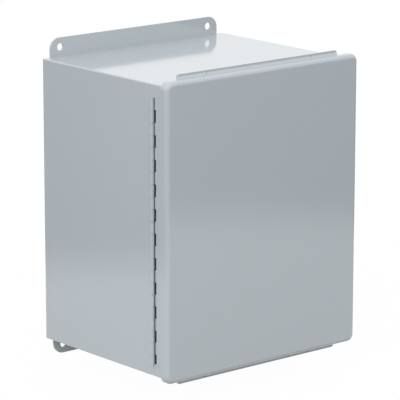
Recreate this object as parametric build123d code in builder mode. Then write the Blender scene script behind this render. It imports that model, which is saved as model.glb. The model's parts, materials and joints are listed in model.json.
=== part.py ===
"""Wall-mounted sheet-steel electrical enclosure with a continuous hinge.

The frame: X runs to the right, Y runs back to the wall and Z runs up. The wall is
the plane Y = 0, the door faces -Y, and the origin is the centre of the four
mounting holes. The door hangs on the left and two screw clamps hold it on the right.
"""

import math
import os

from build123d import *

# Sheet-metal box
sheet = 1.9
body_height = 304.0
body_width = 249.0
body_depth = 203.2
back_bend_radius = 3.0
edge_break = 1.4

# Mounting flanges, which are the back sheet carried past the box
flange_inset = 10.2
flange_height = 20.0
flange_corner_radius = 12.0
mounting_hole_inset = 12.7
mounting_hole_rise = 9.925
mounting_hole_diameter = 7.94

# Door pan
top_overhang = 4.5
hinge_overhang = 2.7
latch_overhang = 8.5
return_depth = 10.0
door_bend_radius = 4.5
door_corner_radius = 8.0
lip_height = 4.7
lip_bend_radius = 3.0
lip_end_radius = 2.6
lip_inset = 21.8
lip_hole_diameter = 2.6
lip_hole_inset = 59.0
lip_hole_rise = 2.2

# Gasket and the trough collar that it seals on
gasket_height = 3.9
gasket_gap = 0.2
gasket_side_margin = 0.2
trough_width = 6.0
land_width = 9.9
collar_leaf_clearance = 1.35
collar_leg = 12.0
collar_bend_radius = 1.0

# Continuous hinge
hinge_end_margin = 13.5
knuckle_pitch = 12.7
knuckle_gap = 0.25
leaf_thickness = 1.2
hinge_pin_radius = 1.2
hinge_running_clearance = 0.05
hinge_setback = 24.2
door_leaf_cutback = 4.75
body_leaf_cutback = 4.0
body_leaf_reach = 14.0
notch_clearance = 0.1
wall_edge_clearance = 0.2
leaf_front_margin = 5.0

# Inner mounting panel on its collar studs
panel_fit = 3.0
panel_sheet = 1.9
panel_corner_radius = 6.0
panel_hole_inset = 12.0
stud_collar_radius = 6.3
stud_collar_length = 9.5
stud_radius = 3.1
stud_length = 14.0
stud_hole_clearance = 0.4
washer_radius = 7.5
washer_thickness = 1.2
nut_across_flats = 11.0
nut_thickness = 5.0
nut_bore_clearance = 0.05

# Bonding studs on the back sheet and on the door
bond_stud_radius = 2.9
bond_stud_length = 16.0
bond_stud_margin = 9.5
bond_stud_rise = 42.0
door_stud_inset = 14.0

# Screw clamps on the latch side
clamp_end_margin = 77.0
clamp_setback = 28.0
clamp_width = 16.0
clamp_bar_thickness = 3.0
clamp_nose_thickness = 2.4
clamp_heel_reach = 10.0
clamp_heel_thickness = 3.0
clamp_lip_clearance = 0.2
clamp_edge_clearance = 0.4
clamp_tip_rise = 2.4
clamp_lift = 3.4
clamp_end_radius = 2.5
clamp_wall_gap = 0.1
boss_radius = 7.0
screw_radius = 2.95
screw_running_clearance = 0.05
screw_tip_room = 0.6
screw_washer_radius = 6.5
screw_washer_thickness = 1.3
screw_across_flats = 10.0
screw_head_thickness = 4.2
screw_slot_width = 1.3
screw_slot_depth = 1.8
clip_radius = 5.0
clip_thickness = 1.0
clip_gap = 0.1
boss_clip_room = 0.2

# Places worked out from the sizes above
half_width = body_width / 2
half_height = body_height / 2
flange_width = body_width - 2 * flange_inset
mounting_spacing_x = flange_width - 2 * mounting_hole_inset
mounting_spacing_z = body_height + 2 * mounting_hole_rise
opening_y = -body_depth
door_front_y = opening_y - gasket_height - sheet
door_inner_y = door_front_y + sheet
door_left = -half_width - hinge_overhang
door_right = half_width + latch_overhang
door_width = door_right - door_left
door_centre_x = (door_right + door_left) / 2
door_height = body_height + 2 * top_overhang
lip_hole_spacing = door_width - 2 * lip_hole_inset
lip_face_y = door_front_y + return_depth
lip_back_y = lip_face_y + sheet

collar_outer_inset = sheet + trough_width
clear_inset = collar_outer_inset + land_width
clear_width = body_width - 2 * clear_inset
clear_height = body_height - 2 * clear_inset

hinge_length = body_height - 2 * hinge_end_margin
knuckle_radius = hinge_pin_radius + hinge_running_clearance + leaf_thickness
knuckle_bore = hinge_pin_radius + hinge_running_clearance
door_leaf_outer_x = door_left + sheet
hinge_x = door_leaf_outer_x + leaf_thickness - knuckle_radius
hinge_y = door_front_y + hinge_setback
hinge_top = hinge_length / 2
hinge_bottom = -hinge_length / 2
wall_notch_y = hinge_y + knuckle_radius + wall_edge_clearance
body_web_y = hinge_y + knuckle_bore + leaf_thickness / 2
body_leaf_back_y = body_web_y + body_leaf_reach + leaf_thickness / 2
collar_step_y = body_leaf_back_y + collar_leaf_clearance
collar_depth = collar_step_y - opening_y

panel_width = clear_width - 2 * panel_fit
panel_height = clear_height - 2 * panel_fit
panel_back_y = -sheet - stud_collar_length
panel_front_y = panel_back_y - panel_sheet
stud_spacing_x = panel_width - 2 * panel_hole_inset
stud_spacing_z = panel_height - 2 * panel_hole_inset

lip_edge_x = door_right + lip_height
clamp_y = door_front_y + clamp_setback
clamp_bar_x = lip_edge_x + clamp_edge_clearance + clamp_lift
clamp_bar_top_x = clamp_bar_x + clamp_bar_thickness
clamp_tip_x = door_right + clamp_tip_rise + clamp_lift
clamp_heel_x = half_width + clamp_wall_gap + clamp_lift
nose_reach = clamp_y - lip_face_y + clamp_lip_clearance
boss_top_x = clamp_bar_x - clamp_lift - clip_gap - clip_thickness - boss_clip_room
screw_tip_x = half_width + screw_tip_room + clamp_lift


def knuckle_spans():
    """Top and bottom of each knuckle, from the top of the hinge down."""
    count = math.ceil(hinge_length / knuckle_pitch)
    tops = [hinge_top - index * knuckle_pitch for index in range(count)]
    return [(top, max(top - knuckle_pitch, hinge_bottom)) for top in tops]


door_knuckles = knuckle_spans()[0::2]
body_knuckles = knuckle_spans()[1::2]


def middle_and_length(span, margin):
    """Middle height and length of a cut that clears one knuckle by a margin."""
    top, bottom = span
    return (top + bottom) / 2, top - bottom + margin


def finish(builder, name):
    """Label a finished piece and write it out."""
    builder.part.label = name
    export_step(builder.part, f"parts/{name}.step")


os.makedirs("parts", exist_ok=True)

# Body shell: left side, back with both mounting flanges and right side, folded as one
with BuildPart() as body_shell:
    with BuildSketch(Plane.XY.offset(-half_height)) as wrap_section:
        with Locations((0, -body_depth / 2)):
            Rectangle(body_width, body_depth)
        fillet(wrap_section.vertices().group_by(Axis.Y)[-1], radius=back_bend_radius)
        inner_depth = body_depth - sheet
        with BuildSketch(mode=Mode.SUBTRACT) as wrap_hollow:
            with Locations((0, -sheet - inner_depth / 2)):
                Rectangle(body_width - 2 * sheet, inner_depth)
            fillet(wrap_hollow.vertices().group_by(Axis.Y)[-1], radius=back_bend_radius - sheet)
    extrude(amount=body_height)
    side_edges = body_shell.edges().filter_by(Axis.Y).group_by(Axis.X)
    fillet(side_edges[0] + side_edges[-1], radius=edge_break)
    with BuildSketch(Plane.XZ) as flange_outline:
        RectangleRounded(flange_width, body_height + 2 * flange_height, flange_corner_radius)
        with GridLocations(mounting_spacing_x, mounting_spacing_z, 2, 2):
            Circle(mounting_hole_diameter / 2, mode=Mode.SUBTRACT)
    extrude(amount=sheet)
    notch_depth = wall_notch_y - opening_y
    with Locations((-half_width, opening_y + notch_depth / 2, 0)):
        Box(4 * sheet, notch_depth, hinge_length + 2 * notch_clearance, mode=Mode.SUBTRACT)
finish(body_shell, "body_shell")


# Top and bottom panels, welded between the sides
def end_panel(low_z):
    """A flat panel that closes the shell, with its lower face at the given height."""
    with BuildPart() as panel:
        with BuildSketch(Plane.XY.offset(low_z)) as outline:
            with Locations((0, -sheet - (body_depth - sheet) / 2)):
                Rectangle(body_width - 2 * sheet, body_depth - sheet)
            fillet(outline.vertices().group_by(Axis.Y)[-1], radius=back_bend_radius - sheet)
        extrude(amount=sheet)
    return panel


top_panel = end_panel(half_height - sheet)
finish(top_panel, "top_panel")

bottom_panel = end_panel(-half_height)
finish(bottom_panel, "bottom_panel")


# Trough collar round the opening: a leg on the walls, a step in, a leg forward and a land
def ring(outer_inset, inner_inset, back_y):
    """A rectangular ring between two insets from the outside of the box, facing the front."""
    with BuildSketch(Plane.XZ.offset(-back_y)) as outline:
        Rectangle(body_width - 2 * outer_inset, body_height - 2 * outer_inset)
        Rectangle(body_width - 2 * inner_inset, body_height - 2 * inner_inset, mode=Mode.SUBTRACT)
    return outline.sketch


with BuildPart() as opening_collar:
    neck_inset = collar_outer_inset + sheet
    extrude(ring(sheet, 2 * sheet, collar_step_y + collar_leg), amount=collar_leg)
    extrude(ring(sheet, neck_inset, collar_step_y + sheet), amount=sheet)
    extrude(ring(collar_outer_inset, neck_inset, collar_step_y + sheet), amount=collar_depth + sheet)
    extrude(ring(collar_outer_inset, clear_inset, opening_y + sheet), amount=sheet)
    front_faces = opening_collar.faces().filter_by(Axis.Y).sort_by(Axis.Y)
    fillet(front_faces[0].outer_wire().edges(), radius=collar_bend_radius)
finish(opening_collar, "opening_collar")

# Hinge leaf on the door: rolled knuckles and a flat leaf inside the door's hinge-side return
with BuildPart() as hinge_door_leaf:
    leaf_front_y = door_front_y + leaf_front_margin
    leaf_run = hinge_y - leaf_front_y
    with BuildSketch(Plane.XY.offset(hinge_bottom)):
        with Locations((hinge_x, hinge_y)):
            Circle(knuckle_radius)
        with Locations((door_leaf_outer_x + leaf_thickness / 2, hinge_y - leaf_run / 2)):
            Rectangle(leaf_thickness, leaf_run)
        with Locations((hinge_x, hinge_y)):
            Circle(knuckle_bore, mode=Mode.SUBTRACT)
    extrude(amount=hinge_length)
    for span in body_knuckles:
        cut_z, cut_length = middle_and_length(span, knuckle_gap)
        cut_run = door_leaf_cutback + 2 * knuckle_radius
        with Locations((hinge_x, hinge_y - door_leaf_cutback + cut_run / 2, cut_z)):
            Box(4 * knuckle_radius, cut_run, cut_length, mode=Mode.SUBTRACT)
finish(hinge_door_leaf, "hinge_door_leaf")

# Hinge leaf on the body: knuckles outside the wall, a web through the notch, a leaf inside it
with BuildPart() as hinge_body_leaf:
    leaf_inner_x = -half_width + sheet + leaf_thickness
    web_run = leaf_inner_x - hinge_x
    with BuildSketch(Plane.XY.offset(hinge_bottom)):
        with Locations((hinge_x, hinge_y)):
            Circle(knuckle_radius)
        with Locations((hinge_x + web_run / 2, body_web_y)):
            Rectangle(web_run, leaf_thickness)
        with Locations((leaf_inner_x - leaf_thickness / 2, body_web_y + body_leaf_reach / 2)):
            Rectangle(leaf_thickness, body_leaf_reach + leaf_thickness)
        with Locations((hinge_x, hinge_y)):
            Circle(knuckle_bore, mode=Mode.SUBTRACT)
    extrude(amount=hinge_length)
    for span in door_knuckles:
        cut_z, cut_length = middle_and_length(span, knuckle_gap)
        cut_run = body_leaf_cutback + 2 * knuckle_radius
        with Locations((hinge_x, hinge_y + body_leaf_cutback - cut_run / 2, cut_z)):
            Box(8 * knuckle_radius, cut_run, cut_length, mode=Mode.SUBTRACT)
finish(hinge_body_leaf, "hinge_body_leaf")

# Hinge pin through every knuckle
with BuildPart() as hinge_pin:
    with BuildSketch(Plane.XY.offset(hinge_bottom)):
        with Locations((hinge_x, hinge_y)):
            Circle(hinge_pin_radius)
    extrude(amount=hinge_length)
finish(hinge_pin, "hinge_pin")


# Door panel: a shallow pan whose top, bottom and latch-side returns end in outward lips
def folded_lip(plane):
    """The lip's section, drawn in a plane with X pointing out of the door and Y to the back."""
    root_y = lip_face_y - lip_bend_radius - sheet / 2
    with BuildSketch(plane) as section:
        with BuildLine():
            Polyline(
                (-sheet, root_y),
                (-sheet, lip_back_y),
                (lip_height, lip_back_y),
                (lip_height, lip_face_y),
                (0, lip_face_y),
                (0, root_y),
                close=True,
            )
        make_face()
        inside_corner = section.vertices().sort_by_distance((0, lip_face_y))[0]
        fillet(inside_corner, radius=lip_bend_radius)
        outside_corner = section.vertices().sort_by_distance((-sheet, lip_back_y))[0]
        fillet(outside_corner, radius=lip_bend_radius + sheet)
    return section.sketch


with BuildPart() as door_panel:
    with BuildSketch(Plane.XZ.offset(-door_front_y)):
        with Locations((door_centre_x, 0)):
            RectangleRounded(door_width, door_height, door_corner_radius)
    extrude(amount=-return_depth)
    fillet(door_panel.faces().sort_by(Axis.Y)[0].edges(), radius=door_bend_radius)
    offset(amount=-sheet, openings=door_panel.faces().sort_by(Axis.Y)[-1])

    lip_length_x = door_width - 2 * lip_inset
    lip_length_z = door_height - 2 * lip_inset
    half_door = door_height / 2
    top_start = (door_centre_x + lip_length_x / 2, 0, half_door)
    top_lip = folded_lip(Plane(top_start, x_dir=(0, 0, 1), z_dir=(-1, 0, 0)))
    extrude(top_lip, amount=lip_length_x)
    bottom_start = (door_centre_x - lip_length_x / 2, 0, -half_door)
    bottom_lip = folded_lip(Plane(bottom_start, x_dir=(0, 0, -1), z_dir=(1, 0, 0)))
    extrude(bottom_lip, amount=lip_length_x)
    latch_start = (door_right, 0, -lip_length_z / 2)
    latch_lip = folded_lip(Plane(latch_start, x_dir=(1, 0, 0), z_dir=(0, 0, 1)))
    extrude(latch_lip, amount=lip_length_z)

    lip_ends = door_panel.edges().filter_by(Axis.Y)
    fillet(lip_ends.group_by(Axis.Z)[0], radius=lip_end_radius)
    fillet(door_panel.edges().filter_by(Axis.Y).group_by(Axis.Z)[-1], radius=lip_end_radius)
    fillet(door_panel.edges().filter_by(Axis.Y).group_by(Axis.X)[-1], radius=lip_end_radius)

    hole_z = half_door + lip_hole_rise
    for place in GridLocations(lip_hole_spacing, 2 * hole_z, 2, 2):
        spot = place.position
        with Locations(Location((door_centre_x + spot.X, lip_face_y, spot.Y), (90, 0, 0))):
            Cylinder(lip_hole_diameter / 2, 2 * (lip_bend_radius + sheet), mode=Mode.SUBTRACT)
finish(door_panel, "door_panel")

# Door gasket: one strip round the inside of the door, facing the collar's land
with BuildPart() as door_gasket:
    gasket_outer = collar_outer_inset + gasket_side_margin
    gasket_inner = clear_inset - gasket_side_margin
    extrude(ring(gasket_outer, gasket_inner, opening_y - gasket_gap), amount=gasket_height - gasket_gap)
finish(door_gasket, "door_gasket")


# Fasteners that stand on a face looking to the front
def stud_group(name, centres, base_y, length):
    """Plain bonding studs welded to a face, with a chamfered end."""
    with BuildPart() as stud:
        with BuildSketch(Plane.XZ.offset(-base_y)):
            with Locations(*centres):
                Circle(bond_stud_radius)
        extrude(amount=length)
        free_end = stud.faces().filter_by(Axis.Y).group_by(Axis.Y)[0 if length > 0 else -1]
        chamfer(free_end.edges(), length=bond_stud_radius / 6)
    finish(stud, name)


def washer_group(name, centres, base_y, bore_radius, way):
    """Flat washers lying on a face; way is 1 towards the front and -1 towards the back."""
    with BuildPart() as washer:
        with BuildSketch(Plane.XZ.offset(-base_y)):
            with Locations(*centres):
                Circle(washer_radius)
                Circle(bore_radius, mode=Mode.SUBTRACT)
        extrude(amount=way * washer_thickness)
    finish(washer, name)


def nut_group(name, centres, base_y, bore_radius, way):
    """Hexagon nuts with turned corners, standing on their washers."""
    corner_radius = nut_across_flats / math.sqrt(3)
    turned_off = corner_radius - nut_across_flats / 2
    with BuildPart() as turned_bar:
        with BuildSketch(Plane.XZ.offset(-base_y)):
            with Locations(*centres):
                Circle(corner_radius)
        extrude(amount=way * nut_thickness)
        outer_face = turned_bar.faces().filter_by(Axis.Y).group_by(Axis.Y)[0 if way > 0 else -1]
        chamfer(outer_face.edges(), length=turned_off)
    with BuildPart() as nut:
        with BuildSketch(Plane.XZ.offset(-base_y)):
            with Locations(*centres):
                RegularPolygon(nut_across_flats / 2, 6, major_radius=False)
        extrude(amount=way * nut_thickness)
        add(turned_bar.part, mode=Mode.INTERSECT)
        with BuildSketch(Plane.XZ.offset(-base_y)):
            with Locations(*centres):
                Circle(bore_radius)
        extrude(amount=way * nut_thickness, mode=Mode.SUBTRACT)
    finish(nut, name)


# Collar studs that hold the inner panel off the back sheet
with BuildPart() as panel_studs:
    with BuildSketch(Plane.XZ.offset(sheet)):
        with GridLocations(stud_spacing_x, stud_spacing_z, 2, 2):
            Circle(stud_collar_radius)
    extrude(amount=stud_collar_length)
    with BuildSketch(Plane.XZ.offset(-panel_back_y)):
        with GridLocations(stud_spacing_x, stud_spacing_z, 2, 2):
            Circle(stud_radius)
    extrude(amount=stud_length)
    chamfer(panel_studs.faces().group_by(Axis.Y)[0].edges(), length=stud_radius / 6)
finish(panel_studs, "panel_studs")

# Inner panel, a flat plate that passes through the opening
with BuildPart() as inner_panel:
    with BuildSketch(Plane.XZ.offset(-panel_back_y)):
        RectangleRounded(panel_width, panel_height, panel_corner_radius)
        with GridLocations(stud_spacing_x, stud_spacing_z, 2, 2):
            Circle(stud_radius + stud_hole_clearance, mode=Mode.SUBTRACT)
    extrude(amount=panel_sheet)
finish(inner_panel, "inner_panel")

stud_places = [
    (place.position.X, place.position.Y) for place in GridLocations(stud_spacing_x, stud_spacing_z, 2, 2)
]
washer_bore = stud_radius + stud_hole_clearance
washer_group("panel_washers", stud_places, panel_front_y, washer_bore, 1)
nut_seat_y = panel_front_y - washer_thickness
nut_group("panel_nuts", stud_places, nut_seat_y, stud_radius + nut_bore_clearance, 1)

# Bonding stud on the back sheet, beside the inner panel
bond_bore = bond_stud_radius + stud_hole_clearance
bond_nut_bore = bond_stud_radius + nut_bore_clearance
body_bond_place = [(half_width - sheet - bond_stud_margin, bond_stud_rise - half_height)]
stud_group("body_bond_stud", body_bond_place, -sheet, bond_stud_length)
washer_group("body_bond_washer", body_bond_place, -sheet, bond_bore, 1)
nut_group("body_bond_nut", body_bond_place, -sheet - washer_thickness, bond_nut_bore, 1)

# Bonding stud on the inside of the door, in the lower hinge-side corner of the opening
door_bond_place = [(-clear_width / 2 + door_stud_inset, -clear_height / 2 + door_stud_inset)]
stud_group("door_bond_stud", door_bond_place, door_inner_y, -bond_stud_length)
washer_group("door_bond_washer", door_bond_place, door_inner_y, bond_bore, -1)
nut_group("door_bond_nut", door_bond_place, door_inner_y + washer_thickness, bond_nut_bore, -1)

# Threaded bosses welded to the latch side for the clamp screws
clamp_heights = {"upper": half_height - clamp_end_margin, "lower": clamp_end_margin - half_height}
with BuildPart() as clamp_bosses:
    with BuildSketch(Plane.YZ.offset(half_width)):
        with Locations(*[(clamp_y, height) for height in clamp_heights.values()]):
            Circle(boss_radius)
            Circle(screw_radius + screw_running_clearance, mode=Mode.SUBTRACT)
    extrude(amount=boss_top_x - half_width)
finish(clamp_bosses, "clamp_bosses")


# Each clamp hangs released beside its boss, with its screw backed out and its nose down
def clamp_dog(name, height):
    """A folded steel dog: a bar with a nose for the door's lip and a heel for the wall."""
    nose_end = height - nose_reach - clamp_nose_thickness
    heel_end = height + clamp_heel_reach
    with BuildPart() as dog:
        with BuildSketch(Plane.XZ.offset(-clamp_y - clamp_width / 2)):
            with BuildLine():
                Polyline(
                    (clamp_bar_top_x, heel_end),
                    (clamp_bar_top_x, nose_end),
                    (clamp_tip_x, nose_end),
                    (clamp_tip_x, height - nose_reach),
                    (clamp_bar_x, height - nose_reach),
                    (clamp_bar_x, heel_end - clamp_heel_thickness),
                    (clamp_heel_x, heel_end - clamp_heel_thickness),
                    (clamp_heel_x, heel_end),
                    close=True,
                )
            make_face()
        extrude(amount=clamp_width)
        fillet(dog.edges().filter_by(Axis.Y).group_by(Axis.X)[-1], radius=clamp_end_radius)
        with BuildSketch(Plane.YZ.offset(clamp_bar_x)):
            with Locations((clamp_y, height)):
                Circle(screw_radius + screw_running_clearance)
        extrude(amount=clamp_bar_thickness, mode=Mode.SUBTRACT)
    finish(dog, name)


def clamp_screw(name, height):
    """A slotted hexagon washer-head screw, backed out by the clamp's lift."""
    seat_x = clamp_bar_top_x + clip_gap
    hexagon_x = seat_x + screw_washer_thickness
    head_top_x = hexagon_x + screw_head_thickness
    with BuildPart() as screw:
        with BuildSketch(Plane.YZ.offset(screw_tip_x)):
            with Locations((clamp_y, height)):
                Circle(screw_radius)
        extrude(amount=seat_x - screw_tip_x)
        chamfer(screw.faces().sort_by(Axis.X)[0].edges(), length=screw_radius / 6)
        with BuildSketch(Plane.YZ.offset(seat_x)):
            with Locations((clamp_y, height)):
                Circle(screw_washer_radius)
        extrude(amount=screw_washer_thickness)
        with BuildSketch(Plane.YZ.offset(hexagon_x)):
            with Locations((clamp_y, height)):
                RegularPolygon(screw_across_flats / 2, 6, major_radius=False)
        extrude(amount=screw_head_thickness)
        with Locations((head_top_x, clamp_y, height)):
            Box(2 * screw_slot_depth, 2 * screw_across_flats, screw_slot_width, mode=Mode.SUBTRACT)
    finish(screw, name)


def clamp_clip(name, height):
    """An open retaining ring that keeps the dog on its screw."""
    with BuildPart() as clip:
        with BuildSketch(Plane.YZ.offset(clamp_bar_x - clip_gap - clip_thickness)):
            with Locations((clamp_y, height)):
                Circle(clip_radius)
                Circle(screw_radius + screw_running_clearance, mode=Mode.SUBTRACT)
            with Locations((clamp_y, height - clip_radius)):
                Rectangle(1.5 * screw_radius, 2 * clip_radius, mode=Mode.SUBTRACT)
        extrude(amount=clip_thickness)
    finish(clip, name)


for level, height in clamp_heights.items():
    clamp_dog(f"clamp_{level}", height)
    clamp_screw(f"clamp_screw_{level}", height)
    clamp_clip(f"clamp_clip_{level}", height)
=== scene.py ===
# %% [markdown]
# # A wall-mounted steel enclosure
#
# The object is a grey powder-coated box of folded sheet steel. Its door hangs on one
# long hinge of interleaved knuckles, and two screw clamps hold the other side.
# The solids are already exact, so they stay as they are. This script gives them
# their finishes, adds the small things that a solid model leaves out, and sets up
# the light and the camera.

# %% Load the fixed frame
import json
import math

import bpy
from mathutils import Matrix, Vector


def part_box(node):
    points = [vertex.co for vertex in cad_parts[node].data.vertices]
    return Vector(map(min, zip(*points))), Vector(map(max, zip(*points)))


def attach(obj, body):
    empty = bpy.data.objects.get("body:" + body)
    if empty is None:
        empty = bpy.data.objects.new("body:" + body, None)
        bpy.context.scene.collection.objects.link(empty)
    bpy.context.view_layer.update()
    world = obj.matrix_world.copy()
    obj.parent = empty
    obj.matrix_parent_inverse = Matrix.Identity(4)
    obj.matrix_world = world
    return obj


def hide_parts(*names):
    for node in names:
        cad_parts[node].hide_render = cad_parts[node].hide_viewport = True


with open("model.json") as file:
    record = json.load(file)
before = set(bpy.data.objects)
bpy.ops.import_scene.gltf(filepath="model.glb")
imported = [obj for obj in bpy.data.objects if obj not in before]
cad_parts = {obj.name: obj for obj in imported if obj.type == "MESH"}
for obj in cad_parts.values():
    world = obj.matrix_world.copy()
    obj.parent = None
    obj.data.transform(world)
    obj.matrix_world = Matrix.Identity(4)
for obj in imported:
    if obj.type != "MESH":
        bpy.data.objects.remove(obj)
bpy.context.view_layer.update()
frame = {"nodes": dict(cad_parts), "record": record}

# %% [markdown]
# ## The camera
#
# A camera can be placed by eye, or worked out from the picture. Here the angles come
# from the repeats of the hinge, whose real pitch is known, and from the box's edges.
# A long lens far away keeps the upright edges nearly parallel, as in the photograph.

# %% Place the camera
AZIMUTH = math.radians(40.156)
ELEVATION = math.radians(13.265)
ROLL = math.radians(0.057)
DISTANCE = 3.01855
SIDE_OFFSET = -0.06858
UP_OFFSET = 0.02011
DOOR_CENTRE = Vector((0.0029, 0.0, 0.0))
LENS = 249.68
SENSOR = 36.0
LENS_SHIFT = (-0.00055, 0.00269)
FARTHEST_SEEN = 50.0

forward = Vector((
    math.sin(AZIMUTH) * math.cos(ELEVATION),
    math.cos(AZIMUTH) * math.cos(ELEVATION),
    -math.sin(ELEVATION),
))
level_right = Vector((math.cos(AZIMUTH), -math.sin(AZIMUTH), 0.0))
level_up = level_right.cross(forward)
right = math.cos(ROLL) * level_right + math.sin(ROLL) * level_up
up = math.cos(ROLL) * level_up - math.sin(ROLL) * level_right

camera_data = bpy.data.cameras.new("camera")
camera_data.lens = LENS
camera_data.sensor_width = SENSOR
camera_data.shift_x, camera_data.shift_y = LENS_SHIFT
camera_data.clip_end = FARTHEST_SEEN
camera = bpy.data.objects.new("camera", camera_data)
bpy.context.scene.collection.objects.link(camera)
turn = Matrix((right, up, -forward)).transposed().to_4x4()
place = DOOR_CENTRE - DISTANCE * forward - SIDE_OFFSET * right - UP_OFFSET * up
camera.matrix_world = Matrix.Translation(place) @ turn
bpy.context.scene.camera = camera
print("camera at", [round(v, 3) for v in place])


# %% [markdown]
# ## Shared helpers for node trees
#
# Every finish and every small piece here is built from nodes. A few short functions
# keep each tree down to the lines that say something about the piece itself.

# %% Node helpers
MIX_NUMBER_A, MIX_NUMBER_B = 2, 3
MIX_COLOUR_A, MIX_COLOUR_B = 6, 7
MIX_COLOUR_RESULT = 2
WHITE = (1.0, 1.0, 1.0, 1.0)


def add(tree, kind, inputs=None, **settings):
    """Add a node, set its properties, and set or link its inputs."""
    node = tree.nodes.new(kind)
    for name, value in settings.items():
        setattr(node, name, value)
    for name, value in (inputs or {}).items():
        if isinstance(value, bpy.types.NodeSocket):
            tree.links.new(value, node.inputs[name])
        else:
            node.inputs[name].default_value = value
    return node


def calculate(tree, operation, *values, clamp=False):
    """The result of a Math node."""
    node = add(tree, "ShaderNodeMath", dict(enumerate(values)), operation=operation, use_clamp=clamp)
    return node.outputs[0]


def new_material(name):
    """An empty node material with a Principled BSDF wired to its output."""
    material = bpy.data.materials.new(name)
    material.use_nodes = True
    nodes = material.node_tree.nodes
    nodes.clear()
    output = nodes.new("ShaderNodeOutputMaterial")
    shader = nodes.new("ShaderNodeBsdfPrincipled")
    material.node_tree.links.new(shader.outputs["BSDF"], output.inputs["Surface"])
    return material, shader


print("helpers:", add.__name__, calculate.__name__, new_material.__name__)


# %% [markdown]
# ## A coat surface that several paints share
#
# Powder coat is sprayed dry and melted in an oven. It flows into a very shallow
# waviness, called orange peel, with a little unevenness in its gloss. The effect is
# made once, as a node group that puts out a colour, a roughness and a height, and
# each painted finish places it with its own values.

# %% Build the coat group
TONE_PATCHES = {"Scale": 9.0, "Detail": 3.0}
GLOSS_PATCHES = {"Scale": 60.0, "Detail": 2.0}
PEEL_DETAIL = 1.0
NOISE_MEAN = 0.5


def coat_sockets(group):
    """Name what each paint sets, with a value to start from, and what it gets back."""
    for name, kind, value in (
        ("Colour", "NodeSocketColor", (0.5, 0.5, 0.5, 1.0)),
        ("Tone drift", "NodeSocketFloat", 0.02),
        ("Roughness", "NodeSocketFloat", 0.3),
        ("Gloss drift", "NodeSocketFloat", 0.04),
        ("Peel size", "NodeSocketFloat", 0.002),
    ):
        socket = group.interface.new_socket(name=name, in_out="INPUT", socket_type=kind)
        socket.default_value = value
    for name, kind in (
        ("Colour", "NodeSocketColor"),
        ("Roughness", "NodeSocketFloat"),
        ("Height", "NodeSocketFloat"),
    ):
        group.interface.new_socket(name=name, in_out="OUTPUT", socket_type=kind)


def drifting(group, place, patches, amount, base):
    """A value that drifts to both sides of its base from patch to patch."""
    noise = add(group, "ShaderNodeTexNoise", {"Vector": place, **patches})
    centred = calculate(group, "SUBTRACT", noise.outputs["Fac"], NOISE_MEAN)
    return calculate(group, "MULTIPLY_ADD", centred, amount, base)


def coat_group():
    """Orange peel, faint tone drift and uneven gloss for an oven-cured coat."""
    group = bpy.data.node_groups.new("cured_coat", "ShaderNodeTree")
    coat_sockets(group)
    get = add(group, "NodeGroupInput").outputs
    place = add(group, "ShaderNodeTexCoord").outputs["Object"]
    shade = drifting(group, place, TONE_PATCHES, get["Tone drift"], 1.0)
    tinted = add(group, "ShaderNodeVectorMath", {0: get["Colour"], "Scale": shade}, operation="SCALE")
    roughness = drifting(group, place, GLOSS_PATCHES, get["Gloss drift"], get["Roughness"])
    cells = calculate(group, "DIVIDE", 1.0, get["Peel size"])
    peel = add(group, "ShaderNodeTexNoise", {"Vector": place, "Scale": cells, "Detail": PEEL_DETAIL})
    result = {"Colour": tinted.outputs["Vector"], "Roughness": roughness, "Height": peel.outputs["Fac"]}
    add(group, "NodeGroupOutput", result)
    return group


cured_coat = coat_group()
print("group:", cured_coat.name, "nodes:", len(cured_coat.nodes))

# %% [markdown]
# ## The two paints
#
# The box is sprayed grey once it is welded and hung, and the inner panel has a white
# enamel of its own. The grey coat is glossy enough to mirror a pale room softly. That
# needs a low roughness and a slightly raised index of refraction, not a brighter lamp.

# %% Mix the paints
COAT_IOR = 1.6


def painted(name, colour, roughness, peel_size, peel_depth, tone_drift):
    """A painted finish that uses the coat group with its own values."""
    material, shader = new_material(name)
    shader.inputs["IOR"].default_value = COAT_IOR
    tree = material.node_tree
    look = {
        "Colour": (*colour, 1.0),
        "Tone drift": tone_drift,
        "Roughness": roughness,
        "Peel size": peel_size,
    }
    coat = add(tree, "ShaderNodeGroup", look, node_tree=cured_coat)
    bump = add(tree, "ShaderNodeBump", {"Height": coat.outputs["Height"], "Distance": peel_depth})
    tree.links.new(coat.outputs["Colour"], shader.inputs["Base Color"])
    tree.links.new(coat.outputs["Roughness"], shader.inputs["Roughness"])
    tree.links.new(bump.outputs["Normal"], shader.inputs["Normal"])
    return material


grey_coat = painted(
    "grey_powder_coat",
    colour=(0.365, 0.401, 0.428),
    roughness=0.10,
    peel_size=0.0022,
    peel_depth=0.000006,
    tone_drift=0.02,
)
white_enamel = painted(
    "white_panel_enamel",
    colour=(0.80, 0.81, 0.80),
    roughness=0.30,
    peel_size=0.0018,
    peel_depth=0.00002,
    tone_drift=0.02,
)
print("painted finishes:", grey_coat.name, white_enamel.name)


# %% [markdown]
# ## Bare metal
#
# The fasteners are zinc plated, a soft bluish shine that varies from grain to grain.
# The clamps are stainless steel with a fine brushed grain along their length. Both
# are the same noise: fine and even for the plate, drawn out lengthways for the brush.

# %% Metal finishes
GRAIN_DETAIL = 4.0
GRAIN_DARKEST = 0.85
GLOSS_SPREAD = 0.08


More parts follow.
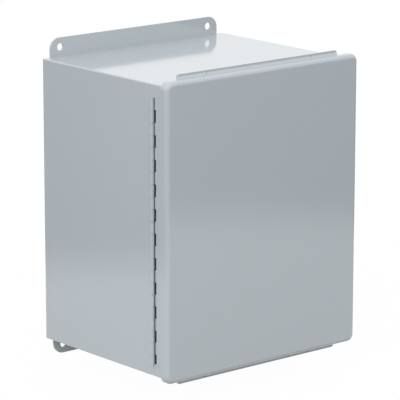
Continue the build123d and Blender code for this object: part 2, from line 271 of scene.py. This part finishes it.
def metal(name, colour, roughness, grain_scale, grain_depth):
    """A plated or brushed metal whose grain runs with the mapping's long axis."""
    material, shader = new_material(name)
    tree = material.node_tree
    place = add(tree, "ShaderNodeTexCoord").outputs["Object"]
    mapped = add(tree, "ShaderNodeMapping", {"Vector": place, "Scale": grain_scale}).outputs["Vector"]
    noise = add(tree, "ShaderNodeTexNoise", {"Vector": mapped, "Scale": 1.0, "Detail": GRAIN_DETAIL})
    grain = noise.outputs["Fac"]
    darkest = [GRAIN_DARKEST * channel for channel in colour]
    shades = {"Factor": grain, MIX_COLOUR_A: (*darkest, 1.0), MIX_COLOUR_B: (*colour, 1.0)}
    tone = add(tree, "ShaderNodeMix", shades, data_type="RGBA")
    span = {"Value": grain, "To Min": roughness - GLOSS_SPREAD, "To Max": roughness + GLOSS_SPREAD}
    gloss = add(tree, "ShaderNodeMapRange", span)
    bump = add(tree, "ShaderNodeBump", {"Height": grain, "Distance": grain_depth})
    shader.inputs["Metallic"].default_value = 1.0
    tree.links.new(tone.outputs[MIX_COLOUR_RESULT], shader.inputs["Base Color"])
    tree.links.new(gloss.outputs["Result"], shader.inputs["Roughness"])
    tree.links.new(bump.outputs["Normal"], shader.inputs["Normal"])
    return material


zinc_plate = metal(
    "zinc_plate",
    colour=(0.66, 0.68, 0.70),
    roughness=0.32,
    grain_scale=(900.0, 900.0, 900.0),
    grain_depth=0.00001,
)
brushed_steel = metal(
    "brushed_stainless",
    colour=(0.60, 0.60, 0.59),
    roughness=0.30,
    grain_scale=(4000.0, 4000.0, 120.0),
    grain_depth=0.00001,
)
print("metals:", zinc_plate.name, brushed_steel.name)


# %% [markdown]
# ## Foam rubber
#
# The gasket is closed-cell foam, matt black with fine pores where the skin is cut.
# Voronoi cells give the pores as shallow dimples, each painted a little darker in its middle than at its
# rim, as shade in the hollow.

# %% Rubber finish
PORES_PER_METRE = 1600.0
PORE_REACH = 0.7
PORE_SHADE_TONES = (0.012, 0.035)
PORE_DEPTH = 0.0001
RUBBER_ROUGHNESS = 0.85


def foam_rubber():
    """Matt black closed-cell rubber with fine pores, painted darker in their hollows as shade."""
    material, shader = new_material("foam_rubber")
    tree = material.node_tree
    place = add(tree, "ShaderNodeTexCoord").outputs["Object"]
    cells = add(tree, "ShaderNodeTexVoronoi", {"Vector": place, "Scale": PORES_PER_METRE})
    pores = cells.outputs["Distance"]
    # The middle of each pore is painted darker, as shade in its dimple.
    span = {"Value": pores, "From Max": PORE_REACH, "To Min": PORE_SHADE_TONES[0], "To Max": PORE_SHADE_TONES[1]}
    tone = add(tree, "ShaderNodeMapRange", span)
    bump = add(tree, "ShaderNodeBump", {"Height": pores, "Distance": PORE_DEPTH})
    shader.inputs["Roughness"].default_value = RUBBER_ROUGHNESS
    tree.links.new(tone.outputs["Result"], shader.inputs["Base Color"])
    tree.links.new(bump.outputs["Normal"], shader.inputs["Normal"])
    return material


gasket_rubber = foam_rubber()
print("rubber:", gasket_rubber.name)

# %% [markdown]
# ## Finishes on the solids
#
# The record says which finish each solid has. The box, the door and the hinge share
# the grey coat, because they are sprayed together.

# %% Give each solid its finish
FINISHES = {
    "powder_coat": grey_coat,
    "white_enamel": white_enamel,
    "zinc_steel": zinc_plate,
    "stainless": brushed_steel,
    "gasket_rubber": gasket_rubber,
}
for part in frame["record"]["subparts"]:
    solid = frame["nodes"][part["node"]]
    solid.data.materials.clear()
    solid.data.materials.append(FINISHES[part["material_slot"]])

# %% [markdown]
# ## Small pieces that the solids leave out
#
# The solids stop at the sizes that matter for fit. Four things are added here: the
# soft gasket strip, the threads on the studs, the weld beads and a thin dark bar of
# painted shade in each groove of the hinge. Each repeats or follows a path, so each is
# a Geometry Nodes tree with named inputs. The result is turned into a plain mesh.

# %% Helpers for node trees that make geometry
def geometry_tree(name, inputs):
    """An empty Geometry Nodes tree with named inputs and one geometry output."""
    tree = bpy.data.node_groups.new(name, "GeometryNodeTree")
    tree.interface.new_socket(name="Geometry", in_out="OUTPUT", socket_type="NodeSocketGeometry")
    for label, kind in {"Geometry": "Geometry", **inputs, "Material": "Material"}.items():
        tree.interface.new_socket(name=label, in_out="INPUT", socket_type="NodeSocket" + kind)
    return tree, add(tree, "NodeGroupInput").outputs


def close_tree(tree, geometry, material):
    """End a tree in Realize Instances and Set Material."""
    whole = add(tree, "GeometryNodeRealizeInstances", {"Geometry": geometry}).outputs["Geometry"]
    coated = add(tree, "GeometryNodeSetMaterial", {"Geometry": whole, "Material": material})
    add(tree, "NodeGroupOutput", {"Geometry": coated.outputs["Geometry"]})
    return tree


def plain_mesh(tree, name, points, edges, values):
    """What a tree makes of a few points or edges, as a mesh of its own."""
    seed_mesh = bpy.data.meshes.new(name + "_seed")
    seed_mesh.from_pydata(points, edges, [])
    seed = bpy.data.objects.new(name + "_seed", seed_mesh)
    bpy.context.scene.collection.objects.link(seed)
    modifier = seed.modifiers.new("make", "NODES")
    modifier.node_group = tree
    for socket in tree.interface.items_tree:
        if socket.in_out == "INPUT" and socket.name in values:
            modifier[socket.identifier] = values[socket.name]
    bpy.context.view_layer.update()
    evaluated = seed.evaluated_get(bpy.context.evaluated_depsgraph_get())
    mesh = bpy.data.meshes.new_from_object(evaluated)
    bpy.data.objects.remove(seed)
    return mesh


def piece_from(tree, name, points, values, edges=(), smooth=False):
    """Run a tree on a few points or edges, and keep the result as a named piece."""
    mesh = plain_mesh(tree, name, points, edges, values)
    mesh.name = name
    for face in mesh.polygons:
        face.use_smooth = face.use_smooth or smooth
    piece = bpy.data.objects.new(name, mesh)
    bpy.context.scene.collection.objects.link(piece)
    print(name, "faces:", len(mesh.polygons))
    return piece


# %% [markdown]
# ## The gasket strip
#
# A strip of foam rubber is glued round the inside of the door, where it meets the
# flat land of the opening. A plain bar would look like hard plastic. A rounded
# section drawn round a rectangular path, with small round corners, looks like foam.

# %% Draw a rounded bar round a rectangle
QUARTER_TURN = math.pi / 2
CORNER_STEPS = 8
ROUNDING_STEPS = 5


def rounded_rectangle(tree, width, height, radius, steps):
    """A rectangular curve whose corners are rounded in a few steps."""
    outline = add(tree, "GeometryNodeCurvePrimitiveQuadrilateral", {"Width": width, "Height": height})
    corners = {"Curve": outline.outputs["Curve"], "Count": steps, "Radius": radius}
    return add(tree, "GeometryNodeFilletCurve", corners, mode="POLY").outputs["Curve"]


def strip_tree():
    """A rounded bar that follows a rectangle standing in the XZ plane."""
    sizes = ("Length", "Height", "Bar width", "Bar depth", "Corner", "Rounding")
    tree, get = geometry_tree("gasket_strip", {"Middle": "Vector", **dict.fromkeys(sizes, "Float")})
    path = rounded_rectangle(tree, get["Length"], get["Height"], get["Corner"], CORNER_STEPS)
    bar = rounded_rectangle(tree, get["Bar width"], get["Bar depth"], get["Rounding"], ROUNDING_STEPS)
    strip = add(tree, "GeometryNodeCurveToMesh", {"Curve": path, "Profile Curve": bar}).outputs["Mesh"]
    stand = {"Geometry": strip, "Translation": get["Middle"], "Rotation": (QUARTER_TURN, 0.0, 0.0)}
    upright = add(tree, "GeometryNodeTransform", stand)
    return close_tree(tree, upright.outputs["Geometry"], get["Material"])


rounded_strip = strip_tree()
print("tree:", rounded_strip.name, "nodes:", len(rounded_strip.nodes))

# %% [markdown]
# ## Its place on the door
#
# The strip fills the same box as the plain bar in the solids, which it replaces. It
# is glued to the door, so it swings with it.

# %% Make the gasket strip
GASKET_WIDTH = 0.0095
GASKET_CORNER = 0.007
GASKET_ROUNDING = 0.0015

strip_low, strip_high = (Vector(corner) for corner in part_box("door_gasket"))
strip_size = strip_high - strip_low
strip_values = {
    "Length": strip_size.x - GASKET_WIDTH,
    "Height": strip_size.z - GASKET_WIDTH,
    "Middle": tuple((strip_low + strip_high) / 2),
    "Bar width": GASKET_WIDTH,
    "Bar depth": strip_size.y,
    "Corner": GASKET_CORNER,
    "Rounding": GASKET_ROUNDING,
    "Material": gasket_rubber,
}
gasket_strip = piece_from(rounded_strip, "gasket_strip", [(0.0, 0.0, 0.0)], strip_values, smooth=True)
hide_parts("door_gasket")
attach(gasket_strip, "door")

# %% [markdown]
# ## The threads
#
# A thread is one ridge that winds round a rod. The spiral curve gives the winding. A
# small four-sided profile, half sunk in the rod, gives the ridge.

# %% Wind a ridge
STEPS_PER_TURN = 24
RIDGE_SIDES = 4


def thread_tree():
    """One winding ridge on each point. Way 1 climbs towards -Y and way -1 towards +Y."""
    sizes = ("Turns", "Pitch", "Rod radius", "Ridge", "Way")
    tree, get = geometry_tree("winding_ridge", dict.fromkeys(sizes, "Float"))
    rod = {"Start Radius": get["Rod radius"], "End Radius": get["Rod radius"]}
    rise = calculate(tree, "MULTIPLY", get["Turns"], get["Pitch"])
    climb = {"Resolution": STEPS_PER_TURN, "Rotations": get["Turns"], "Height": rise}
    winding = add(tree, "GeometryNodeCurveSpiral", {**rod, **climb}).outputs["Curve"]
    profile = {"Resolution": RIDGE_SIDES, "Radius": get["Ridge"]}
    section = add(tree, "GeometryNodeCurvePrimitiveCircle", profile, mode="RADIUS").outputs["Curve"]
    sweep = {"Curve": winding, "Profile Curve": section, "Fill Caps": True}
    ridge = add(tree, "GeometryNodeCurveToMesh", sweep).outputs["Mesh"]
    turn = add(tree, "ShaderNodeCombineXYZ", {"X": calculate(tree, "MULTIPLY", get["Way"], QUARTER_TURN)})
    where = {"Points": get["Geometry"], "Instance": ridge, "Rotation": turn.outputs["Vector"]}
    placed = add(tree, "GeometryNodeInstanceOnPoints", where)
    return close_tree(tree, placed.outputs["Instances"], get["Material"])


winding_ridge = thread_tree()
print("tree:", winding_ridge.name, "nodes:", len(winding_ridge.nodes))

# %% [markdown]
# ## Threads on the studs
#
# Six studs are welded in: four hold the inner panel, and the box and the door have one
# each for an earth wire. Only the free length past each nut gets a ridge, since the
# rest can't be seen. The ridge starts half a pitch past the nut and stops one pitch
# before the stud's end, as a cut thread runs out.

# %% Make the threads
THREAD_PITCH = 0.001
THREAD_RIDGE = 0.00042
THREAD_RUN_OUT = 1.5 * THREAD_PITCH
PANEL_STUD_RADIUS = 0.0031
BOND_STUD_RADIUS = 0.0029
WASHER_RADIUS = 0.0075


def thread(name, stud, nut, rod_radius, body, way, places):
    """Ridges on the free ends of studs: way is 1 for studs that stand towards -Y."""
    stud_low, stud_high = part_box(stud)
    nut_low, nut_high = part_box(nut)
    start = nut_low[1] if way > 0 else nut_high[1]
    end = stud_low[1] if way > 0 else stud_high[1]
    values = {
        "Turns": (abs(end - start) - THREAD_RUN_OUT) / THREAD_PITCH,
        "Pitch": THREAD_PITCH,
        "Rod radius": rod_radius - THREAD_RIDGE / 2,
        "Ridge": THREAD_RIDGE,
        "Way": float(way),
        "Material": zinc_plate,
    }
    feet = [(x, start - way * THREAD_PITCH / 2, z) for x, z in places]
    piece = piece_from(winding_ridge, name, feet, values)
    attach(piece, body)


def middle(node):
    """Centre of a node in X and Z."""
    low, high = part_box(node)
    return (low[0] + high[0]) / 2, (low[2] + high[2]) / 2


washers_low, washers_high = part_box("panel_washers")
panel_stud_places = [
    (x, z)
    for x in (washers_low[0] + WASHER_RADIUS, washers_high[0] - WASHER_RADIUS)
    for z in (washers_low[2] + WASHER_RADIUS, washers_high[2] - WASHER_RADIUS)
]
thread(
    "panel_stud_threads",
    stud="panel_studs",
    nut="panel_nuts",
    rod_radius=PANEL_STUD_RADIUS,
    body="enclosure",
    way=1,
    places=panel_stud_places,
)
thread(
    "body_bond_thread",
    stud="body_bond_stud",
    nut="body_bond_nut",
    rod_radius=BOND_STUD_RADIUS,
    body="enclosure",
    way=1,
    places=[middle("body_bond_stud")],
)
thread(
    "door_bond_thread",
    stud="door_bond_stud",
    nut="door_bond_nut",
    rod_radius=BOND_STUD_RADIUS,
    body="door",
    way=-1,
    places=[middle("door_bond_stud")],
)

# %% [markdown]
# ## Weld beads
#
# A weld bead is a row of overlapping drops. They could be drawn in a bump texture, but
# a bead stands clear of the corner and shows in outline. The tree follows each path and
# sets one drop at each step, with a little difference in size.

# %% Set drops along a path
DROP_SUBDIVISIONS = 2
DROP_SIZES = (0.82, 1.0)
RANDOM_FLOAT_MIN, RANDOM_FLOAT_MAX = 2, 3
RANDOM_FLOAT_VALUE = 1


def weld_tree():
    """A row of overlapping drops along each path."""
    sizes = {"Drop radius": "Float", "Drop step": "Float", "Seed": "Int"}
    tree, get = geometry_tree("weld_bead", sizes)
    path = add(tree, "GeometryNodeMeshToCurve", {"Mesh": get["Geometry"]}).outputs["Curve"]
    spacing = {"Curve": path, "Length": get["Drop step"]}
    steps = add(tree, "GeometryNodeResampleCurve", spacing, mode="LENGTH").outputs["Curve"]
    shape = {"Radius": get["Drop radius"], "Subdivisions": DROP_SUBDIVISIONS}
    drop = add(tree, "GeometryNodeMeshIcoSphere", shape).outputs["Mesh"]
    span = {"Seed": get["Seed"], RANDOM_FLOAT_MIN: DROP_SIZES[0], RANDOM_FLOAT_MAX: DROP_SIZES[1]}
    size = add(tree, "FunctionNodeRandomValue", span, data_type="FLOAT").outputs[RANDOM_FLOAT_VALUE]
    row = add(tree, "GeometryNodeInstanceOnPoints", {"Points": steps, "Instance": drop, "Scale": size})
    return close_tree(tree, row.outputs["Instances"], get["Material"])


weld_bead = weld_tree()
print("tree:", weld_bead.name, "nodes:", len(weld_bead.nodes))

# %% [markdown]
# ## Where the welds run
#
# The end panels are stitched to the sides and to the back from inside, so that the
# outside stays smooth. Short stitches with gaps between them keep the sheet from
# warping. Each clamp boss is welded to the side wall on a part of its rim.

# %% Lay out the weld paths
STITCH_LENGTH = 0.016
STITCH_SPACING = 0.042
FIRST_STITCH_Y = -0.02
BACK_FACE_Y = -0.0019
BACK_STITCHES_X = (0.03, 0.085)
BOSS_WELD_RADIUS = 0.0072
BOSS_WELD_DEGREES = range(170, 281, 10)

panel_low, panel_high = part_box("top_panel")
seam_heights = (panel_low[2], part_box("bottom_panel")[1][2])
side_wall_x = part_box("body_shell")[1][0]
collar_back_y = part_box("opening_collar")[1][1]
stitch_count = int((FIRST_STITCH_Y - collar_back_y) / STITCH_SPACING)
stitch_starts = [FIRST_STITCH_Y - index * STITCH_SPACING for index in range(stitch_count)]


def side_stitches():
    """Stitches from front to back, where the end panels meet the sides."""
    return [
        [(side, start, height), (side, start - STITCH_LENGTH, height)]
        for height in seam_heights
        for side in (panel_low[0], panel_high[0])
        for start in stitch_starts
    ]


def back_stitches():
    """Stitches from side to side, where the end panels meet the back."""
    return [
        [(side * near, BACK_FACE_Y, height), (side * (near + STITCH_LENGTH), BACK_FACE_Y, height)]
        for height in seam_heights
        for side in (-1, 1)
        for near in BACK_STITCHES_X
    ]


def boss_arcs():
    """Part of a ring round each clamp boss, on the outside of the side wall."""
    low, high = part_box("clamp_bosses")
    centre_y = (low[1] + high[1]) / 2
    boss_radius = (high[1] - low[1]) / 2
    turns = [math.radians(degrees) for degrees in BOSS_WELD_DEGREES]
    ring = [(BOSS_WELD_RADIUS * math.cos(turn), BOSS_WELD_RADIUS * math.sin(turn)) for turn in turns]
    heights = (low[2] + boss_radius, high[2] - boss_radius)
    return [[(side_wall_x, centre_y + y, height + z) for y, z in ring] for height in heights]


stitches = side_stitches() + back_stitches()
weld_paths = stitches + boss_arcs()
print("stitches:", len(stitches), "paths:", len(weld_paths))

# %% [markdown]
# ## All the beads as one piece
#
# The welds never move against the box, so all of them are one piece that rides on it.
# They are coated with it too, and have its grey finish.

# %% Make the weld beads
DROP_RADIUS = 0.0013
DROP_STEP = 0.0011
WELD_SEED = 4

weld_points = []
weld_edges = []
for weld_path in weld_paths:
    first = len(weld_points)
    weld_points.extend(weld_path)
    weld_edges.extend((first + i, first + i + 1) for i in range(len(weld_path) - 1))
weld_values = {
    "Drop radius": DROP_RADIUS,
    "Drop step": DROP_STEP,
    "Seed": WELD_SEED,
    "Material": grey_coat,
}
weld_beads = piece_from(weld_bead, "weld_beads", weld_points, weld_values, edges=weld_edges, smooth=True)
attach(weld_beads, "enclosure")

# %% [markdown]
# ## Painted shade in the hinge grooves
#
# Each knuckle is sheet that is rolled round the pin until its free edge meets the leaf
# again. The groove where knuckle and leaf meet lies in shade, and one thin dark bar in
# the groove of every knuckle on the door's leaf paints that shade.

# %% Set a bar on each point
def groove_shade_tree():
    """One upright bar of painted shade on each point."""
    sizes = {"Length": "Float", "Radius": "Float", "Sides": "Int"}
    tree, get = geometry_tree("groove_shade_bar", sizes)
    shape = {"Vertices": get["Sides"], "Radius": get["Radius"], "Depth": get["Length"]}
    bar = add(tree, "GeometryNodeMeshCylinder", shape).outputs["Mesh"]
    bars = add(tree, "GeometryNodeInstanceOnPoints", {"Points": get["Geometry"], "Instance": bar})
    return close_tree(tree, bars.outputs["Instances"], get["Material"])


groove_shade_bar = groove_shade_tree()
print("tree:", groove_shade_bar.name, "nodes:", len(groove_shade_bar.nodes))

# %% [markdown]
# ## Where the groove lies
#
# The leaf is flat and the knuckle beside it is round, so they leave a V-shaped groove.
# The bar is sunk into it until it touches both sides. Its place follows from the
# barrel's radius and the thickness of the leaf. The door has every other knuckle.

# %% Make the painted groove shade
KNUCKLE_PITCH = 0.0127
LEAF_THICKNESS = 0.0012
GROOVE_SHADE_RADIUS = 0.00034
GROOVE_SHADE_SIDES = 10
GROOVE_SHADE_SHARE_OF_PITCH = 0.97

leaf_low, leaf_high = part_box("hinge_door_leaf")
pin_low, pin_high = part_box("hinge_pin")
axis_x = (pin_low[0] + pin_high[0]) / 2
axis_y = (pin_low[1] + pin_high[1]) / 2
barrel_radius = axis_x - leaf_low[0]
groove_x = barrel_radius - LEAF_THICKNESS
groove_turn = math.asin(groove_x / barrel_radius)
half_angle = (QUARTER_TURN - groove_turn) / 2
groove_shade_x = axis_x + groove_x - GROOVE_SHADE_RADIUS
groove_shade_y = axis_y - barrel_radius * math.cos(groove_turn) - GROOVE_SHADE_RADIUS / math.tan(half_angle)
knuckle_count = math.ceil((leaf_high[2] - leaf_low[2]) / KNUCKLE_PITCH)
knuckle_middles = [leaf_high[2] - (index + 0.5) * KNUCKLE_PITCH for index in range(0, knuckle_count, 2)]

# The bars' near-black paint is painted shade: it darkens each groove beside a door knuckle.
groove_shade_paint = painted(
    "groove_shade_finish",
    colour=(0.03, 0.031, 0.033),
    roughness=0.55,
    peel_size=0.0015,
    peel_depth=0.000004,
    tone_drift=0.2,
)
groove_shade_values = {
    "Length": GROOVE_SHADE_SHARE_OF_PITCH * KNUCKLE_PITCH,
    "Radius": GROOVE_SHADE_RADIUS,
    "Sides": GROOVE_SHADE_SIDES,
    "Material": groove_shade_paint,
}
groove_shade_places = [(groove_shade_x, groove_shade_y, z) for z in knuckle_middles]
# The bars paint the shade in the door's hinge grooves and swing with the door.
painted_groove_shade = piece_from(groove_shade_bar, "painted_groove_shade", groove_shade_places, groove_shade_values)
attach(painted_groove_shade, "door")


# %% [markdown]
# ## Floor and background
#
# The photograph shows the object alone on white. A plain white floor lies just below
# it, and both the floor and the world are white to the camera. The floor is white in
# mirror images too, but only as far as a table would reach. That edge, blurred by the
# coat, is the soft step in brightness that the photograph shows on the front and side.

# %% The floor's finish
FLOOR_ALBEDO = 0.28
FLOOR_WHITE_SHARE = 0.95
FLOOR_WHITE = 1.03
TABLE_CENTRE = (0.025, -0.25, 0.0)
TABLE_REACH = (0.60, 0.86)
TABLE_IN_MIRROR = 1.25
BEYOND_TABLE = 0.15


def backdrop_rays(tree):
    """Two masks: where anything but plain light sees the surface, and mirror images alone."""
    ray = add(tree, "ShaderNodeLightPath").outputs
    seen = calculate(tree, "ADD", ray["Is Camera Ray"], ray["Is Glossy Ray"])
    seen = calculate(tree, "ADD", seen, ray["Is Transmission Ray"], clamp=True)
    return seen, ray["Is Glossy Ray"]


def table_edge(tree):
    """Bright on the table and dark past its edge, with a soft step between."""
    place = add(tree, "ShaderNodeTexCoord").outputs["Object"]
    flat = add(tree, "ShaderNodeVectorMath", {0: place, 1: (1.0, 1.0, 0.0)}, operation="MULTIPLY")
    points = {0: flat.outputs["Vector"], 1: TABLE_CENTRE}
    reach = add(tree, "ShaderNodeVectorMath", points, operation="DISTANCE").outputs["Value"]
    span = {"From Min": TABLE_REACH[0], "From Max": TABLE_REACH[1]}
    levels = {"To Min": TABLE_IN_MIRROR, "To Max": BEYOND_TABLE}
    edge = {"Value": reach, **span, **levels}
    return add(tree, "ShaderNodeMapRange", edge, interpolation_type="SMOOTHSTEP").outputs["Result"]


def floor_finish():
    """White to the camera, duller to other light, and darker past the table in mirrors."""
    material = bpy.data.materials.new("floor_white")
    material.use_nodes = True
    tree = material.node_tree
    tree.nodes.clear()
    seen, mirrored = backdrop_rays(tree)
    levels = {"Factor": mirrored, MIX_NUMBER_A: FLOOR_WHITE, MIX_NUMBER_B: table_edge(tree)}
    strength = add(tree, "ShaderNodeMix", levels, data_type="FLOAT").outputs["Result"]
    white = add(tree, "ShaderNodeEmission", {"Strength": strength}).outputs["Emission"]
    dull = add(tree, "ShaderNodeBsdfDiffuse", {"Color": (FLOOR_ALBEDO, FLOOR_ALBEDO, FLOOR_ALBEDO, 1.0)})
    share = calculate(tree, "MULTIPLY", seen, FLOOR_WHITE_SHARE)
    mix = add(tree, "ShaderNodeMixShader", {0: share, 1: dull.outputs["BSDF"], 2: white})
    add(tree, "ShaderNodeOutputMaterial", {"Surface": mix.outputs["Shader"]})
    return material


floor_white = floor_finish()
print("floor finish:", floor_white.name)

# %% [markdown]
# ## The floor itself
#
# One large flat face, a little below the lower flange. It is staging, not a piece of
# the object.

# %% Make the floor
FLOOR_HEIGHT = -0.185
FLOOR_HALF = 12.0

corner_signs = ((-1, -1), (1, -1), (1, 1), (-1, 1))
floor_corners = [(x * FLOOR_HALF, y * FLOOR_HALF, FLOOR_HEIGHT) for x, y in corner_signs]
floor_mesh = bpy.data.meshes.new("floor")
floor_mesh.from_pydata(floor_corners, [], [(0, 1, 2, 3)])
floor_mesh.materials.append(floor_white)
floor = bpy.data.objects.new("floor", floor_mesh)
bpy.context.scene.collection.objects.link(floor)
print("floor at", FLOOR_HEIGHT)

# %% [markdown]
# ## Light from all round
#
# The top of the object is its brightest face and the underside its darkest, so most
# light comes from above. The world is brighter overhead than at the horizon, and plain
# white wherever the background itself shows.

# %% Light the world
SKY_LOW = 0.50
SKY_HIGH = 1.15
SKY_TO_CAMERA = 1.0
SKY_IN_MIRROR = 1.2


def studio_world():
    """A soft light from above, and plain white wherever the background shows."""
    world = bpy.data.worlds.new("studio")
    world.use_nodes = True
    tree = world.node_tree
    tree.nodes.clear()
    way = add(tree, "ShaderNodeTexCoord").outputs["Generated"]
    height = add(tree, "ShaderNodeSeparateXYZ", {"Vector": way}).outputs["Z"]
    strength = add(tree, "ShaderNodeMapRange", {"Value": height, "To Min": SKY_LOW, "To Max": SKY_HIGH})
    sky = add(tree, "ShaderNodeBackground", {"Color": WHITE, "Strength": strength.outputs["Result"]})
    seen, mirrored = backdrop_rays(tree)
    levels = {"Factor": mirrored, MIX_NUMBER_A: SKY_TO_CAMERA, MIX_NUMBER_B: SKY_IN_MIRROR}
    level = add(tree, "ShaderNodeMix", levels, data_type="FLOAT").outputs["Result"]
    white = add(tree, "ShaderNodeBackground", {"Color": WHITE, "Strength": level})
    backdrop = {0: seen, 1: sky.outputs["Background"], 2: white.outputs["Background"]}
    mix = add(tree, "ShaderNodeMixShader", backdrop)
    add(tree, "ShaderNodeOutputWorld", {"Surface": mix.outputs["Shader"]})
    return world


bpy.context.scene.world = studio_world()
print("world:", bpy.context.scene.world.name)


# %% [markdown]
# ## Soft boxes
#
# Three soft boxes add to the world: the key light at the front left, a weaker fill at
# the front right, and one at the back, so that the sides that the camera misses aren't
# dull. They are left out of mirror images, because a lamp would show there as a spot.

# %% Hang the soft boxes
def soft_box(name, place, size, power):
    """A square soft light that shines from one place towards the object."""
    data = bpy.data.lights.new(name, "AREA")
    data.size = size
    data.energy = power
    lamp = bpy.data.objects.new(name, data)
    bpy.context.scene.collection.objects.link(lamp)
    lamp.location = place
    lamp.rotation_euler = (-Vector(place)).to_track_quat("-Z", "Y").to_euler()
    lamp.visible_camera = False
    lamp.visible_glossy = False
    print(name, "at", place, "power", power)


soft_box("soft_box_key", place=(-2.0, -1.15, 1.15), size=2.0, power=52.0)
soft_box("soft_box_fill", place=(1.1, -1.9, 1.2), size=1.5, power=12.5)
soft_box("soft_box_back", place=(1.7, 1.5, 1.1), size=2.0, power=22.0)

# %% [markdown]
# ## Finish
#
# The view transform is set to Standard, so colours show without a film curve.

# %% Finish
bpy.context.scene.view_settings.view_transform = "Standard"
